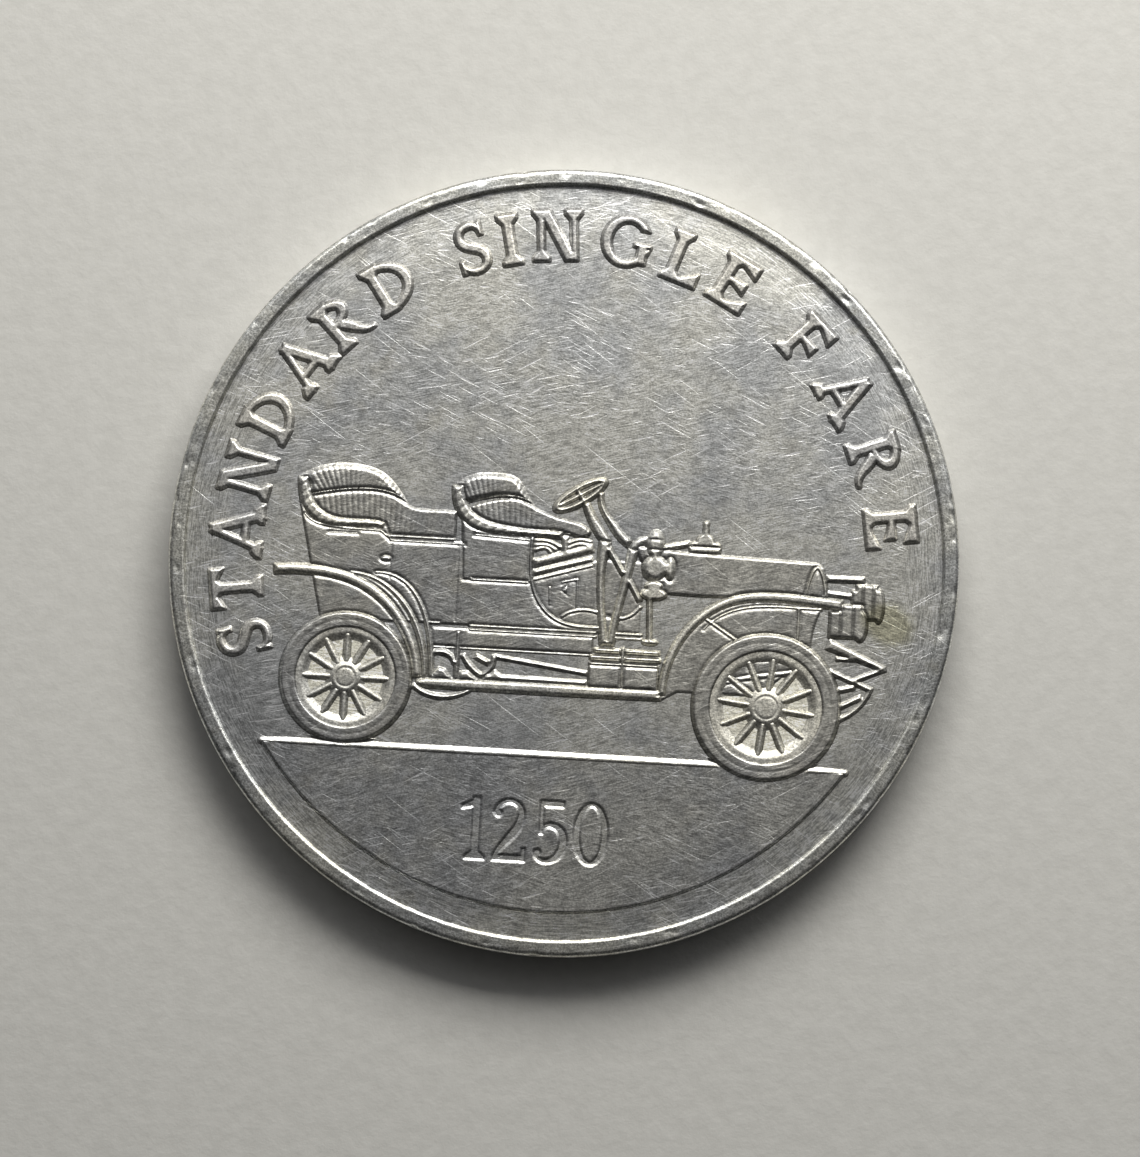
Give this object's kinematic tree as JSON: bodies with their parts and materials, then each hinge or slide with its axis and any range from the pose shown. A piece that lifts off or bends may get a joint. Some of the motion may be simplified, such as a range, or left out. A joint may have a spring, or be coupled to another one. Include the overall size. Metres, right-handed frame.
{
  "type": "transit token",
  "caption": "Struck metal disc token with a raised rim, a vintage touring car in relief above a ground line, an arched legend and a number sunk below; a plain reverse with one numeral.",
  "frame": {"origin": "centre of the plane that the reverse rim rests on, which is also the bottom centre of the box", "axes": "+Z out of the obverse, square to the faces; +X along the ground line to the reader's right; +Y to the top of the obverse design"},
  "size_m": [0.026, 0.026, 0.0017],
  "materials": {
    "struck_blank": "satin, worn",
    "ground_panel": "satin, darkened",
    "struck_relief": "bright on the high points",
    "struck_lettering": "bright on the high points"
  },
  "bodies": {
    "root": {"belt_moulding": "struck_relief", "body_side": "struck_relief", "body_sweep": "struck_relief", "bonnet": "struck_relief", "dash_rail": "struck_relief", "door_handle": "struck_relief", "exergue_panel": "ground_panel", "far_headlamp": "struck_relief", "filler_cap": "struck_relief", "footwell": "struck_relief", "frame_rail": "struck_relief", "front_felloe": "struck_relief", "front_hub": "struck_relief", "front_leaf_spring": "struck_relief", "front_mudguard": "struck_relief", "front_mudguard_frame": "struck_relief", "front_seat_arm": "struck_relief", "front_seat_back": "struck_relief", "front_seat_cushion": "struck_relief", "front_seat_panel": "struck_relief", "front_spokes": "struck_relief", "front_spring": "struck_relief", "front_tyre": "struck_relief", "ground_line": "struck_relief", "lamp_bracket": "struck_relief", "legend_fare": "struck_lettering", "legend_single": "struck_lettering", "legend_standard": "struck_lettering", "near_headlamp": "struck_relief", "obverse_rim": "struck_blank", "pedals": "struck_relief", "planchet": "struck_blank", "radiator_band": "struck_relief", "radius_rods": "struck_relief", "rear_felloe": "struck_relief", "rear_hub": "struck_relief", "rear_mudguard": "struck_relief", "rear_mudguard_ribs": "struck_relief", "rear_seat_arm": "struck_relief", "rear_seat_back": "struck_relief", "rear_seat_cushion": "struck_relief", "rear_spokes": "struck_relief", "rear_spring": "struck_relief", "rear_tyre": "struck_relief", "reverse_circle": "struck_lettering", "reverse_numeral": "struck_lettering", "reverse_rim": "struck_blank", "running_board": "struck_relief", "seat_frame": "struck_relief", "side_lamp": "struck_relief", "side_lamp_foot": "struck_relief", "side_levers": "struck_relief", "sill_moulding": "struck_relief", "splash_panel": "struck_relief", "steering_column": "struck_relief", "steering_wheel": "struck_relief", "toe_board": "struck_relief", "toolbox": "struck_relief", "toolbox_lids": "struck_relief"}
  },
  "joints": []
}
